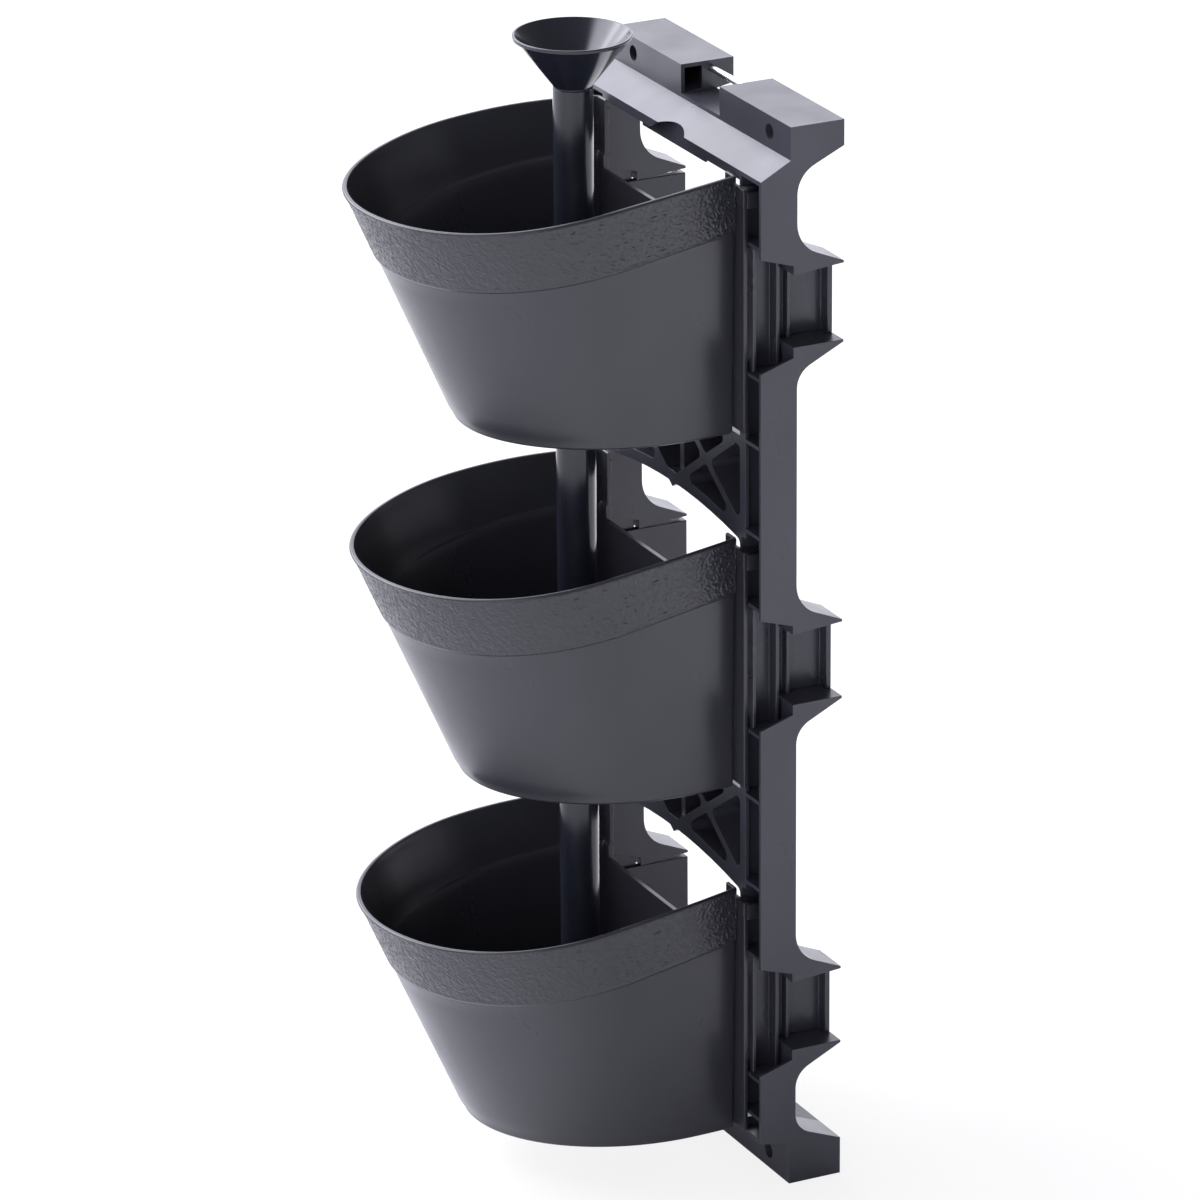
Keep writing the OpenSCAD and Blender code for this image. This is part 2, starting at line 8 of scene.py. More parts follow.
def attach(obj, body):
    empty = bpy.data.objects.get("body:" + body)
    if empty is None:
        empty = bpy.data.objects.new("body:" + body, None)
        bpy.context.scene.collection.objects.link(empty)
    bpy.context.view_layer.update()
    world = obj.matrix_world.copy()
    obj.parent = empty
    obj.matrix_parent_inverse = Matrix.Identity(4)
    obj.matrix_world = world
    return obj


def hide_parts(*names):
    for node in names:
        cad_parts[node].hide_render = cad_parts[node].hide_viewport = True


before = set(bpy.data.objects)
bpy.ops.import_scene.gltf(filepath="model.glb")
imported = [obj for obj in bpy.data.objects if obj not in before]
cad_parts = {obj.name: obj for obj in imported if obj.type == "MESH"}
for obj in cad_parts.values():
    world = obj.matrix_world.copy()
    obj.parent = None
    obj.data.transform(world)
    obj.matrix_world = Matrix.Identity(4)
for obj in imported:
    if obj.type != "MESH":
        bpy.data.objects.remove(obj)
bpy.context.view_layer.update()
scene = bpy.context.scene

MM = 0.001

# Places of the three storeys in millimetres, in the frame of the CAD
CAP_Z = 10.4
PITCH = 234.5
RIM_DROP = 34.7

# A pot: back plane, height, wall, dip of the rim at the front, leathered band and cut in the back sheet
POT_Y = -60.0
POT_H = 168.0
POT_T = 2.8
RIM_DIP = 16.0
BAND_BACK_H = 36.0
BAND_GROW = 6.0
BAND_OUT = 1.4
BACK_CUT_X = 82.0
BACK_CUT_H = 46.0

# Outlines of a pot as half width, half width at the back, depth of the sides and depth of the bow
RIM_PLAN = (109.0, 93.0, 98.0, 110.0)
BASE_PLAN = (90.0, 89.0, 30.0, 111.0)

# The watering tube, the space over its lower sections and the ring that each section stands in
TUBE_Y = -124.0
TUBE_R = 12.5
TUBE_T = 1.8
TUBE_TOP = 16.0
TUBE_SPACE = 6.0
RING_H = 12.0
RING_GAP = 0.6


def rim_z(k):
    return CAP_Z - RIM_DROP - k * PITCH


def floor_z(k):
    return rim_z(k) - POT_H


# Materials

# Nearly all values of a noise texture lie between these
NOISE_LOW = 0.3
NOISE_HIGH = 0.7

# Cells of each texture per metre along X, Y and Z, and heights of the relief in metres
CLOUD_CELLS = (11, 11, 7)
SHEEN_CELLS = (30, 30, 14)
WAVE_CELLS = (24, 24, 30)
CREASE_CELLS = (430, 430, 520)
DRAWN_CELLS = (40, 2600, 2600)
FLOOR_CELLS = (3, 3, 3)
GRAIN_HEIGHT = 0.0001
WAVE_HEIGHT = 0.0016
CREASE_HEIGHT = 0.0004
DRAWN_HEIGHT = 0.00005

# How far a plastic's colour and roughness stray, and how far a crease reaches into its cell
CLOUD_DARK = 0.84
CLOUD_LIGHT = 1.18
SHEEN_BELOW = 0.04
SHEEN_ABOVE = 0.05
CREASE_REACH = 0.22
PLASTIC_IOR = 1.5

STEEL_DARK = (0.56, 0.57, 0.59)
STEEL_LIGHT = (0.72, 0.73, 0.75)
STEEL_ROUGHNESS = (0.18, 0.34)
DRAWN_DEPTH = 0.15


def shader(name):
    material = bpy.data.materials.new(name)
    material.use_nodes = True
    tree = material.node_tree
    tree.nodes.clear()
    out = tree.nodes.new("ShaderNodeOutputMaterial")
    bsdf = tree.nodes.new("ShaderNodeBsdfPrincipled")
    tree.links.new(bsdf.outputs["BSDF"], out.inputs["Surface"])
    return material, tree, bsdf


def scaled_coords(tree, scale):
    coord = tree.nodes.new("ShaderNodeTexCoord")
    mapping = tree.nodes.new("ShaderNodeMapping")
    mapping.inputs["Scale"].default_value = scale
    tree.links.new(coord.outputs["Object"], mapping.inputs["Vector"])
    return mapping.outputs["Vector"]


def noise_texture(tree, scale, detail, roughness=0.5):
    node = tree.nodes.new("ShaderNodeTexNoise")
    node.inputs["Scale"].default_value = 1.0
    node.inputs["Detail"].default_value = detail
    node.inputs["Roughness"].default_value = roughness
    tree.links.new(scaled_coords(tree, scale), node.inputs["Vector"])
    return node.outputs[0]


def remap(tree, value, low, high, from_low=NOISE_LOW, from_high=NOISE_HIGH):
    node = tree.nodes.new("ShaderNodeMapRange")
    node.inputs["From Min"].default_value = from_low
    node.inputs["From Max"].default_value = from_high
    node.inputs["To Min"].default_value = low
    node.inputs["To Max"].default_value = high
    tree.links.new(value, node.inputs["Value"])
    return node.outputs[0]


def colour_ramp(tree, value, low, high, from_low=NOISE_LOW, from_high=NOISE_HIGH):
    node = tree.nodes.new("ShaderNodeValToRGB")
    node.color_ramp.elements[0].position = from_low
    node.color_ramp.elements[0].color = (*low, 1)
    node.color_ramp.elements[1].position = from_high
    node.color_ramp.elements[1].color = (*high, 1)
    tree.links.new(value, node.inputs["Fac"])
    return node.outputs["Color"]


def bump(tree, height, strength, distance, before=None):
    node = tree.nodes.new("ShaderNodeBump")
    node.inputs["Strength"].default_value = strength
    node.inputs["Distance"].default_value = distance
    tree.links.new(height, node.inputs["Height"])
    if before is not None:
        tree.links.new(before, node.inputs["Normal"])
    return node.outputs["Normal"]


def leather_cells(tree):
    """Small cells with worn edges, for the relief of leathered plastic."""
    cells = tree.nodes.new("ShaderNodeTexVoronoi")
    cells.feature = "DISTANCE_TO_EDGE"
    cells.inputs["Scale"].default_value = 1.0
    tree.links.new(scaled_coords(tree, CREASE_CELLS), cells.inputs["Vector"])
    return remap(tree, cells.outputs["Distance"], 0.0, 1.0, 0.0, CREASE_REACH)


def plastic(name, colour, roughness, wave, grain=900.0, grain_depth=0.12, crease=0.0):
    """Satin moulded plastic with cloudy colour, uneven sheen, slow waves, grain and creases if leathered."""
    material, tree, bsdf = shader(name)
    cloud = noise_texture(tree, CLOUD_CELLS, detail=5, roughness=0.55)
    dark = [c * CLOUD_DARK for c in colour]
    light = [c * CLOUD_LIGHT for c in colour]
    tree.links.new(colour_ramp(tree, cloud, dark, light), bsdf.inputs["Base Color"])
    sheen = noise_texture(tree, SHEEN_CELLS, detail=3)
    sheen = remap(tree, sheen, roughness - SHEEN_BELOW, roughness + SHEEN_ABOVE)
    tree.links.new(sheen, bsdf.inputs["Roughness"])
    bsdf.inputs["IOR"].default_value = PLASTIC_IOR
    fine = noise_texture(tree, (grain, grain, grain), detail=2)
    normal = bump(tree, fine, grain_depth, GRAIN_HEIGHT)
    slow = noise_texture(tree, WAVE_CELLS, detail=2)
    normal = bump(tree, slow, wave, WAVE_HEIGHT, normal)
    if crease:
        normal = bump(tree, leather_cells(tree), crease, CREASE_HEIGHT, normal)
    tree.links.new(normal, bsdf.inputs["Normal"])
    return material


def drawn_steel(name):
    material, tree, bsdf = shader(name)
    lines = noise_texture(tree, DRAWN_CELLS, detail=3)
    tree.links.new(colour_ramp(tree, lines, STEEL_DARK, STEEL_LIGHT), bsdf.inputs["Base Color"])
    tree.links.new(remap(tree, lines, *STEEL_ROUGHNESS), bsdf.inputs["Roughness"])
    bsdf.inputs["Metallic"].default_value = 1.0
    tree.links.new(bump(tree, lines, DRAWN_DEPTH, DRAWN_HEIGHT), bsdf.inputs["Normal"])
    return material


RACK = plastic("rack_plastic", (0.036, 0.0365, 0.047), 0.31, wave=0.22)
POST = plastic("post_plastic", (0.026, 0.0265, 0.036), 0.28, wave=0.08)
POT = plastic("pot_plastic", (0.024, 0.0245, 0.030), 0.31, wave=0.05)
BAND = plastic(
    "pot_band_plastic", (0.026, 0.0265, 0.033), 0.28, wave=0.05, grain=1100.0, grain_depth=0.2, crease=0.9
)
TUBE = plastic("tube_plastic", (0.013, 0.0145, 0.022), 0.17, wave=0.03, grain=1200.0, grain_depth=0.05)
STEEL = drawn_steel("rod_steel")


# Mesh helpers, which take millimetres

BEVEL_SEGMENTS = 3

# Share of an edge that one rounded corner may take
CORNER_SHARE = 0.49


def smooth(mesh, degrees):
    mesh.polygons.foreach_set("use_smooth", [True] * len(mesh.polygons))
    mesh.set_sharp_from_angle(angle=radians(degrees))


def add_object(name, mesh, *materials):
    obj = bpy.data.objects.new(name, mesh)
    scene.collection.objects.link(obj)
    for material in materials:
        mesh.materials.append(material)
    return obj


def new_mesh(name, verts, faces, band_faces=()):
    mesh = bpy.data.meshes.new(name)
    mesh.from_pydata([(x * MM, y * MM, z * MM) for x, y, z in verts], [], faces)
    for i in band_faces:
        mesh.polygons[i].material_index = 1
    bm = bmesh.new()
    bm.from_mesh(mesh)
    bmesh.ops.recalc_face_normals(bm, faces=bm.faces)
    bm.to_mesh(mesh)
    bm.free()
    return mesh


def quarter_turn(steps=5):
    """Angles of a quarter turn in equal steps."""
    return [radians(90 * i / steps) for i in range(steps + 1)]


def spread(start, end, count):
    """Equally spaced values from start to end."""
    return [start + (end - start) * i / (count - 1) for i in range(count)]


def rounded(profile, steps):
    """Closed outline of (x, y, corner radius) with its corners rounded."""
    done = []
    count = len(profile)
    for i, (x, y, r) in enumerate(profile):
        p = Vector((x, y))
        if r <= 0:
            done.append(p)
            continue
        a = Vector(profile[i - 1][:2]) - p
        b = Vector(profile[(i + 1) % count][:2]) - p
        reach = min(r / tan(a.angle(b) / 2), a.length * CORNER_SHARE, b.length * CORNER_SHARE)
        start = p + a.normalized() * reach
        end = p + b.normalized() * reach
        for s in range(steps + 1):
            t = s / steps
            done.append(start.lerp(p, t).lerp(p.lerp(end, t), t))
    return done


def lathe(name, profile, z0, segments=96, steps=5):
    """The profile turned round the tube's axis, with its own zero at height z0."""
    line = rounded(profile, steps)
    count = len(line)
    verts, faces = [], []
    for s in range(segments):
        t = 2 * pi * s / segments
        verts += [(p.x * cos(t), TUBE_Y + p.x * sin(t), z0 + p.y) for p in line]
    for s in range(segments):
        here = s * count
        there = (s + 1) % segments * count
        for i in range(count):
            j = (i + 1) % count
            faces.append((here + i, here + j, there + j, there + i))
    return new_mesh(name, verts, faces)


def cylinder_mesh(centre, axis, radius, length, segments=32):
    bm = bmesh.new()
    bmesh.ops.create_cone(
        bm, cap_ends=True, segments=segments, radius1=radius * MM, radius2=radius * MM, depth=length * MM
    )
    turn = Vector((0, 0, 1)).rotation_difference(Vector(axis)).to_matrix().to_4x4()
    bmesh.ops.transform(bm, matrix=Matrix.Translation(Vector(centre) * MM) @ turn, verts=bm.verts)
    mesh = bpy.data.meshes.new("cutter")
    bm.to_mesh(mesh)
    bm.free()
    return mesh


def box_mesh(low, high, bevel=0.0):
    bm = bmesh.new()
    bmesh.ops.create_cube(bm, size=1.0)
    size = Vector(high) - Vector(low)
    middle = (Vector(high) + Vector(low)) / 2
    bmesh.ops.scale(bm, vec=size * MM, verts=bm.verts)
    bmesh.ops.translate(bm, vec=middle * MM, verts=bm.verts)
    if bevel:
        bmesh.ops.bevel(
            bm,
            geom=bm.edges[:],
            offset=bevel * MM,
            offset_type="OFFSET",
            segments=BEVEL_SEGMENTS,
            profile=0.5,
            affect="EDGES",
        )
    mesh = bpy.data.meshes.new("block")
    bm.to_mesh(mesh)
    bm.free()
    return mesh


def sided_box(low, high, way, bevel):
    """A box given for the right side, on the right for way 1 and mirrored to the left for way -1."""
    x0, x1 = sorted((way * low[0], way * high[0]))
    return box_mesh((x0, low[1], low[2]), (x1, high[1], high[2]), bevel)


def joined(name, meshes):
    bm = bmesh.new()
    for mesh in meshes:
        bm.from_mesh(mesh)
    done = bpy.data.meshes.new(name)
    bm.to_mesh(done)
    bm.free()
    return done


def cut(mesh, cutters, name):
    """The mesh less the cutters, which don't touch one another."""
    obj = add_object(name + "_uncut", mesh)
    tool = add_object(name + "_tool", joined(name + "_tool", cutters))
    boolean = obj.modifiers.new("cut", "BOOLEAN")
    boolean.operation = "DIFFERENCE"
    boolean.solver = "EXACT"
    boolean.object = tool
    bpy.context.view_layer.update()
    graph = bpy.context.evaluated_depsgraph_get()
    done = bpy.data.meshes.new_from_object(obj.evaluated_get(graph))
    done.name = name
    done.materials.clear()
    bpy.data.objects.remove(obj)
    bpy.data.objects.remove(tool)
    return done


def place(obj, node, body):
    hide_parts(node)
    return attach(obj, body)


# Rack

WELD_DISTANCE = 2e-6
FLAT_ANGLE = radians(0.5)
EDGE_ANGLE = radians(34)
FRAME_EDGE = 0.8
POST_EDGE = 0.6
ROD_EDGE = 0.5
LIP_WEB_LOW = (-52, -50.5, -34)
LIP_WEB_HIGH = (34, -49, -19.5)
LIP_WEB_EDGE = 0.3


def moulded(node, material, edge):
    """Copy of a rack piece with softened mould edges."""
    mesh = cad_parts[node].data.copy()
    mesh.materials.clear()
    bm = bmesh.new()
    bm.from_mesh(mesh)
    bmesh.ops.remove_doubles(bm, verts=bm.verts, dist=WELD_DISTANCE)
    bmesh.ops.dissolve_limit(bm, angle_limit=FLAT_ANGLE, verts=bm.verts, edges=bm.edges)
    bm.to_mesh(mesh)
    bm.free()
    mesh.polygons.foreach_set("use_smooth", [True] * len(mesh.polygons))
    obj = add_object(node + "_moulding", mesh, material)
    bevel = obj.modifiers.new("soft_edges", "BEVEL")
    bevel.width = edge * MM
    bevel.segments = BEVEL_SEGMENTS
    bevel.limit_method = "ANGLE"
    bevel.angle_limit = EDGE_ANGLE
    bevel.use_clamp_overlap = True
    obj.modifiers.new("flat_faces", "WEIGHTED_NORMAL")
    return place(obj, node, "rack")


def lip_web():
    """Stiffening web close behind the lip, which closes the view through its arched cut."""
    obj = add_object("lip_web", box_mesh(LIP_WEB_LOW, LIP_WEB_HIGH, LIP_WEB_EDGE), RACK)
    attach(obj, "rack")


for piece in ("top_frame", "upper_frame", "lower_frame", "foot_frame"):
    moulded(piece, RACK, FRAME_EDGE)
for zone in (1, 2, 3):
    for side in ("right", "left"):
        moulded(f"link_post_{zone}_{side}", POST, POST_EDGE)
moulded("hanging_rod", STEEL, ROD_EDGE)
lip_web()


# Pots

CORNER_R = 1.6
FLOOR_FILLET = 2.4
RIM_INNER_R = 1.0
BAND_INSET = 1.8
DIP_SHAPE = 1.2

# Offset and rise of the curves that lead from the wall to the band, outside and inside
STEP_OUTSIDE = ((0, -1.3), (0.12, -0.95), (0.5, -0.5), (1.0, -0.1))
BAND_START = ((1.3, 0.2), (BAND_OUT, 0.6))
STEP_INSIDE = ((-BAND_INSET, 1.0), (-2.1, 0.5), (-2.6, -0.3), (-POT_T, -0.8))

# Columns of faces round the side, front and back walls, and places of the columns in a back corner
SIDE_COLUMNS = 130
FRONT_COLUMNS = 480
BACK_COLUMNS = 12
CORNER_PLACES = (0.25, 0.5, 0.75)

# First level, last level and count of the rings, where 0 is the floor, 1 the foot of the band and 2 the rim
WALL_RINGS = (0.07, 0.97, 14)
BAND_RINGS = (1.025, 1.955, 56)
INNER_BAND_RINGS = (1.9, 1.05, 6)
INNER_WALL_RINGS = (0.95, 0.11, 8)

SHARP_DEGREES = 32

# Creases of the leathered band: depth, length, width and slice of the noise, then how they run and end
BROAD_CREASE = (0.46, 3.7, 2.3, 0.0)
FINE_CREASE = (0.24, 2.0, 1.5, 8.8)
CREASE_SLANT = radians(38)
CREASE_SHARPNESS = 2.6
WANDER = 1.5
WANDER_LENGTH = 6
WANDER_SLICE = 4.2
CREASE_END = 3
CREASE_FADE = 0.06

# Drain holes, outlet, how far the cutters pass the back sheet and the rim, and the foot of the tube's ring
DRAIN_X = 45
DRAIN_Y = 30
DRAIN_R = 3.0
OUTLET_R = 8.0
FLOOR_MIDDLE = 1
FLOOR_CUT = 12
CUT_PAST_SHEET = 1
CUT_PAST_RIM = 6
RING_FOOT = 1.2
RING_SINK = 0.01

# A hook, on the right side, above the pot's floor
HOOK_X = 104.0
HOOK_W = 7.5
HOOK_T = 2.5
HOOK_TOP = 161.8
HOOK_TIP_Y = -48.1
HOOK_LIP_H = 6.0
HOOK_LIP_SINK = 0.1
HOOK_PLATE_T = 2.0
HOOK_PLATE_H = 12.5
HOOK_WEB_X = 84.0
HOOK_WEB_H = 10.5
HOOK_WEB_FRONT = -60.6
HOOK_WEB_BACK = -57.6
HOOK_ROOT = 0.3
HOOK_EDGE = 0.4

# Rib up the back edge of a pot, on the right side
RIB_LOW = (86.0, -60.2, 5.0)
RIB_HIGH = (103.5, -57.4, 151.6)
RIB_EDGE = 0.5


def outline_point(kind, u, plan, out):
    """Point of a pot's outline: a place on the side walls and front, a back corner or the back wall."""
    a, back_a, side, b = plan
    a, back_a, b = a + out, back_a + out, b + out
    y0 = POT_Y + min(out, 0.0)
    yc = POT_Y - side
    corner = CORNER_R / (y0 - yc)
    if kind == "left":
        f = 1 - max(u, corner)
        return -a + (a - back_a) * f * f, y0 + (yc - y0) * (1 - f)
    if kind == "front":
        return -a * cos(pi * u), yc - b * sin(pi * u)
    if kind == "right":
        f = min(u, 1 - corner)
        return a - (a - back_a) * f * f, yc + (y0 - yc) * f
    if kind == "back":
        reach = back_a - CORNER_R
        return reach - 2 * reach * u, y0
    way = 1 if kind == "right_corner" else -1
    start = outline_point("right", 1.0, plan, out)
    p = Vector((way * start[0], start[1]))
    q = Vector((way * back_a, y0))
    r = Vector((way * (back_a - CORNER_R), y0))
    if kind == "left_corner":
        p, r = r, p
    done = p.lerp(q, u).lerp(q.lerp(r, u), u)
    return done.x, done.y


def pot_columns():
    columns = [("left", i / SIDE_COLUMNS) for i in range(SIDE_COLUMNS)]
    columns += [("front", i / FRONT_COLUMNS) for i in range(FRONT_COLUMNS)]
    columns += [("right", i / SIDE_COLUMNS) for i in range(SIDE_COLUMNS + 1)]
    columns += [("right_corner", t) for t in CORNER_PLACES]
    columns += [("back", i / BACK_COLUMNS) for i in range(BACK_COLUMNS + 1)]
    columns += [("left_corner", t) for t in CORNER_PLACES]
    return columns


def crease(along, across, depth, length, width, noise_slice):
    ridge = abs(noise.noise(Vector((along / length, across / width, noise_slice))))
    return depth * (1 - min(1, CREASE_SHARPNESS * ridge))


def leather(s, h):
    """Depth of the band's slanting creases, at s mm along the band and h mm up the pot."""
    along = s * cos(CREASE_SLANT) - h * sin(CREASE_SLANT)
    across = s * sin(CREASE_SLANT) + h * cos(CREASE_SLANT)
    across += WANDER * noise.noise(Vector((s / WANDER_LENGTH, h / WANDER_LENGTH, WANDER_SLICE)))
    return crease(along, across, *BROAD_CREASE) + crease(along, across, *FINE_CREASE)


def pot_profile():
    """Rings of the shell as (level, outward offset, rise, part), up the outside and down the inside."""
    rings = [(0, FLOOR_FILLET * (sin(t) - 1), FLOOR_FILLET * (1 - cos(t)), "") for t in quarter_turn()]
    rings += [(level, 0, 0, "") for level in spread(*WALL_RINGS)]
    rings += [(1, out, rise, "") for out, rise in STEP_OUTSIDE]
    rings += [(1, out, rise, "band") for out, rise in BAND_START]
    rings += [(level, BAND_OUT, 0, "band") for level in spread(*BAND_RINGS)]
    rings += [(2, BAND_OUT * cos(t), BAND_OUT * (sin(t) - 1), "") for t in quarter_turn()]
    for t in quarter_turn():
        rings.append((2, RIM_INNER_R * (1 - sin(t)) - BAND_INSET, RIM_INNER_R * (cos(t) - 1), ""))
    rings += [(level, -BAND_INSET, 0, "") for level in spread(*INNER_BAND_RINGS)]
    rings += [(1, out, rise, "") for out, rise in STEP_INSIDE]
    rings += [(level, -POT_T, 0, "") for level in spread(*INNER_WALL_RINGS)]
    for t in quarter_turn():
        rings.append((0, FLOOR_FILLET * (cos(t) - 1) - POT_T, POT_T + FLOOR_FILLET * (1 - sin(t)), ""))
    return rings


def crease_depth(level, s, h, band_length):
    """Depth of the leather, which fades out at the edges and the ends of the band."""
    across = min(level - 1, 2 - level) / CREASE_FADE
    ends = min(s, band_length - s) / CREASE_END
    return leather(s, h) * max(0.0, min(1.0, across, ends))


def pot_shell():
    """Body of a pot, lofted through its rings, with the faces of its band as a second material."""
    columns = pot_columns()
    outer = [kind in ("left", "front", "right") for kind, u in columns]
    rim = [outline_point(kind, u, RIM_PLAN, 0) for kind, u in columns]
    reach = RIM_PLAN[2] + RIM_PLAN[3]
    far = [max(0.0, (POT_Y - y) / reach) for x, y in rim]
    rim_h = [POT_H - RIM_DIP * (1 - cos(pi * min(d, 1.0) ** DIP_SHAPE)) / 2 for d in far]
    band_h = [h - BAND_BACK_H - BAND_GROW * d for h, d in zip(rim_h, far)]
    along = [0.0]
    for p, q in zip(rim, rim[1:]):
        along.append(along[-1] + hypot(q[0] - p[0], q[1] - p[1]))
    rings = pot_profile()
    verts, faces, band_faces = [], [], []
    for level, out, rise, part in rings:
        for i, (kind, u) in enumerate(columns):
            h = level * band_h[i] if level < 1 else band_h[i] + (level - 1) * (rim_h[i] - band_h[i])
            depth = 0.0
            if part == "band" and outer[i]:
                depth = crease_depth(level, along[i], h, along[-1])
            low = outline_point(kind, u, BASE_PLAN, out - depth)
            high = outline_point(kind, u, RIM_PLAN, out - depth)
            f = h / rim_h[i]
            y = min(POT_Y, low[1] + (high[1] - low[1]) * f)
            verts.append((low[0] + (high[0] - low[0]) * f, y, h + rise))
    count = len(columns)
    for r in range(len(rings) - 1):
        is_band = rings[r][3] == "band"
        for i in range(count):
            j = (i + 1) % count
            if is_band and outer[i]:
                band_faces.append(len(faces))
            faces.append((r * count + i, r * count + j, (r + 1) * count + j, (r + 1) * count + i))
    faces.append(tuple(range(count)))
    faces.append(tuple(range((len(rings) - 1) * count, len(rings) * count)))
    return new_mesh("pot_shell", verts, faces, band_faces)


def hook_meshes():
    """The two hooks of a pot: web, arm, lip and side plate."""
    inner_x = HOOK_X - HOOK_W
    root_y = HOOK_WEB_BACK - HOOK_ROOT
    lip_top = HOOK_TOP - HOOK_LIP_SINK
    pieces = (
        ((HOOK_WEB_X, HOOK_WEB_FRONT, HOOK_TOP - HOOK_WEB_H), (HOOK_X, HOOK_WEB_BACK, HOOK_TOP)),
        ((inner_x, root_y, HOOK_TOP - HOOK_T), (HOOK_X, HOOK_TIP_Y, HOOK_TOP)),
        ((inner_x, HOOK_TIP_Y - HOOK_T, HOOK_TOP - HOOK_LIP_H), (HOOK_X, HOOK_TIP_Y, lip_top)),
        ((HOOK_X - HOOK_PLATE_T, root_y, HOOK_TOP - HOOK_PLATE_H), (HOOK_X, HOOK_TIP_Y, HOOK_TOP)),
    )
    return [sided_box(low, high, way, HOOK_EDGE) for way in (1, -1) for low, high in pieces]


def rib_meshes():
    """Ribs up the back edges of a pot, which bear on the rails' front faces."""
    return [sided_box(RIB_LOW, RIB_HIGH, way, RIB_EDGE) for way in (1, -1)]


def ring_mesh(name):
    """Ring on the floor of a pot, which holds the foot of a tube section."""
    inner = TUBE_R + RING_GAP
    outer = inner + POT_T
    profile = [
        (inner, 0, 0),
        (outer + RING_FOOT, 0, 0.1),
        (outer, RING_FOOT, 0.8),
        (outer, RING_H, 0.9),
        (inner, RING_H, 0.7),
    ]
    return lathe(name, profile, POT_T - RING_SINK)


def pot_mesh(name, shell, outlet):
    up = (0, 0, 1)
    holes = [
        cylinder_mesh((x, TUBE_Y + y, FLOOR_MIDDLE), up, DRAIN_R, FLOOR_CUT)
        for x in (-DRAIN_X, DRAIN_X)
        for y in (-DRAIN_Y, DRAIN_Y)
    ]
    if outlet:
        holes.append(cylinder_mesh((0, TUBE_Y, FLOOR_MIDDLE), up, OUTLET_R, FLOOR_CUT, segments=48))
    window_low = (-BACK_CUT_X, POT_Y - POT_T - CUT_PAST_SHEET, POT_H - BACK_CUT_H)
    window_high = (BACK_CUT_X, POT_Y + CUT_PAST_SHEET, POT_H + CUT_PAST_RIM)
    holes.append(box_mesh(window_low, window_high))
    body = cut(shell.copy(), holes, name + "_shell")
    mesh = joined(name, [body, ring_mesh(name + "_ring"), *hook_meshes(), *rib_meshes()])
    smooth(mesh, SHARP_DEGREES)
    mesh.materials.append(POT)
    mesh.materials.append(BAND)
    return mesh


def pots():
    shell = pot_shell()
    with_outlet = pot_mesh("pot_with_outlet", shell, True)
    closed = pot_mesh("pot_closed", shell, False)
    storeys = (("pot_top", with_outlet), ("pot_middle", with_outlet), ("pot_bottom", closed))
    for k, (node, mesh) in enumerate(storeys):
        pot = add_object(node + "_moulding", mesh)
        pot.location = (0, 0, floor_z(k) * MM)
        place(pot, node, node)


pots()


# Watering tube and funnel

DRIP_RISES = (22, 46)
DRIP_R = 1.5
DRIP_REACH = 30
DRIP_SHIFT = 0.001
STEM_GAP = 0.1
STEM_T = 2
STEM_L = 25
COLLAR_H = 1.5
THROAT_RISE = 3
FUNNEL_R = 37
FUNNEL_H = 33.5
BEAD_H = 2.4
BEAD_OUT = 1.2
MOUTH_EDGE = 1.4
FUNNEL_SHARP_DEGREES = 40


def tube_section(node, body, k, top):
    """A section of the tube on the floor of pot k, with drip holes along X and, a hair higher, along Y."""
    z0 = floor_z(k) + POT_T
    bore = TUBE_R - TUBE_T
    length = top - z0
    profile = [(bore, 0, 0.4), (TUBE_R, 0, 0.5), (TUBE_R, length, 0.6), (bore, length, 0.5)]
    mesh = lathe(node + "_wall", profile, z0, segments=128, steps=4)
    for turn, axis in enumerate(((1, 0, 0), (0, 1, 0))):
        drips = []
        for rise in DRIP_RISES:
            centre = (0, TUBE_Y, z0 + rise + turn * DRIP_SHIFT)
            drips.append(cylinder_mesh(centre, axis, DRIP_R, DRIP_REACH, segments=24))
        mesh = cut(mesh, drips, f"{node}_{turn}")
    smooth(mesh, SHARP_DEGREES)
    return place(add_object(node + "_pipe", mesh, TUBE), node, body)


def funnel():
    stem_r = TUBE_R - TUBE_T - STEM_GAP
    bead_z = FUNNEL_H - BEAD_H
    profile = [
        (stem_r - STEM_T, -STEM_L, 0.4),
        (stem_r, -STEM_L, 0.7),
        (stem_r, 0, 0),
        (TUBE_R, 0, 0.4),
        (TUBE_R, COLLAR_H, 2.5),
        (FUNNEL_R - BEAD_OUT, bead_z, 0.5),
        (FUNNEL_R, bead_z, 0.5),
        (FUNNEL_R, FUNNEL_H, 0.8),
        (FUNNEL_R - MOUTH_EDGE, FUNNEL_H, 0.9),
        (stem_r - STEM_T, THROAT_RISE, 6),
    ]
    mesh = lathe("funnel_wall", profile, TUBE_TOP, segments=160, steps=6)
    smooth(mesh, FUNNEL_SHARP_DEGREES)
    return place(add_object("funnel_cone", mesh, TUBE), "funnel", "funnel")


tube_section("tube_top", "water_tube", 0, TUBE_TOP)
tube_section("tube_middle", "pot_middle", 1, floor_z(0) - TUBE_SPACE)
tube_section("tube_bottom", "pot_bottom", 2, floor_z(1) - TUBE_SPACE)
funnel()


# Studio

FLOOR_Z = -0.6925
FLOOR_SIZE = 9.0
FLOOR_DARK = (0.88, 0.88, 0.885)
FLOOR_LIGHT = (0.92, 0.92, 0.92)
FLOOR_ROUGHNESS = 0.8

# Share of plain white in what the camera sees of the floor
CAMERA_SHARE = 0.85

# Strength of the floor's glow and the places, in metres, between which it fades
SHEET_LEVEL = 0.7
SHEET_X = (-0.35, 0.1)
SHEET_Y = (-0.3, 0.2)

# Colour of the studio's light and its strength away from the panels
STUDIO_COLOUR = (0.94, 0.94, 1.04, 1)
WORLD_LEVEL = 0.29

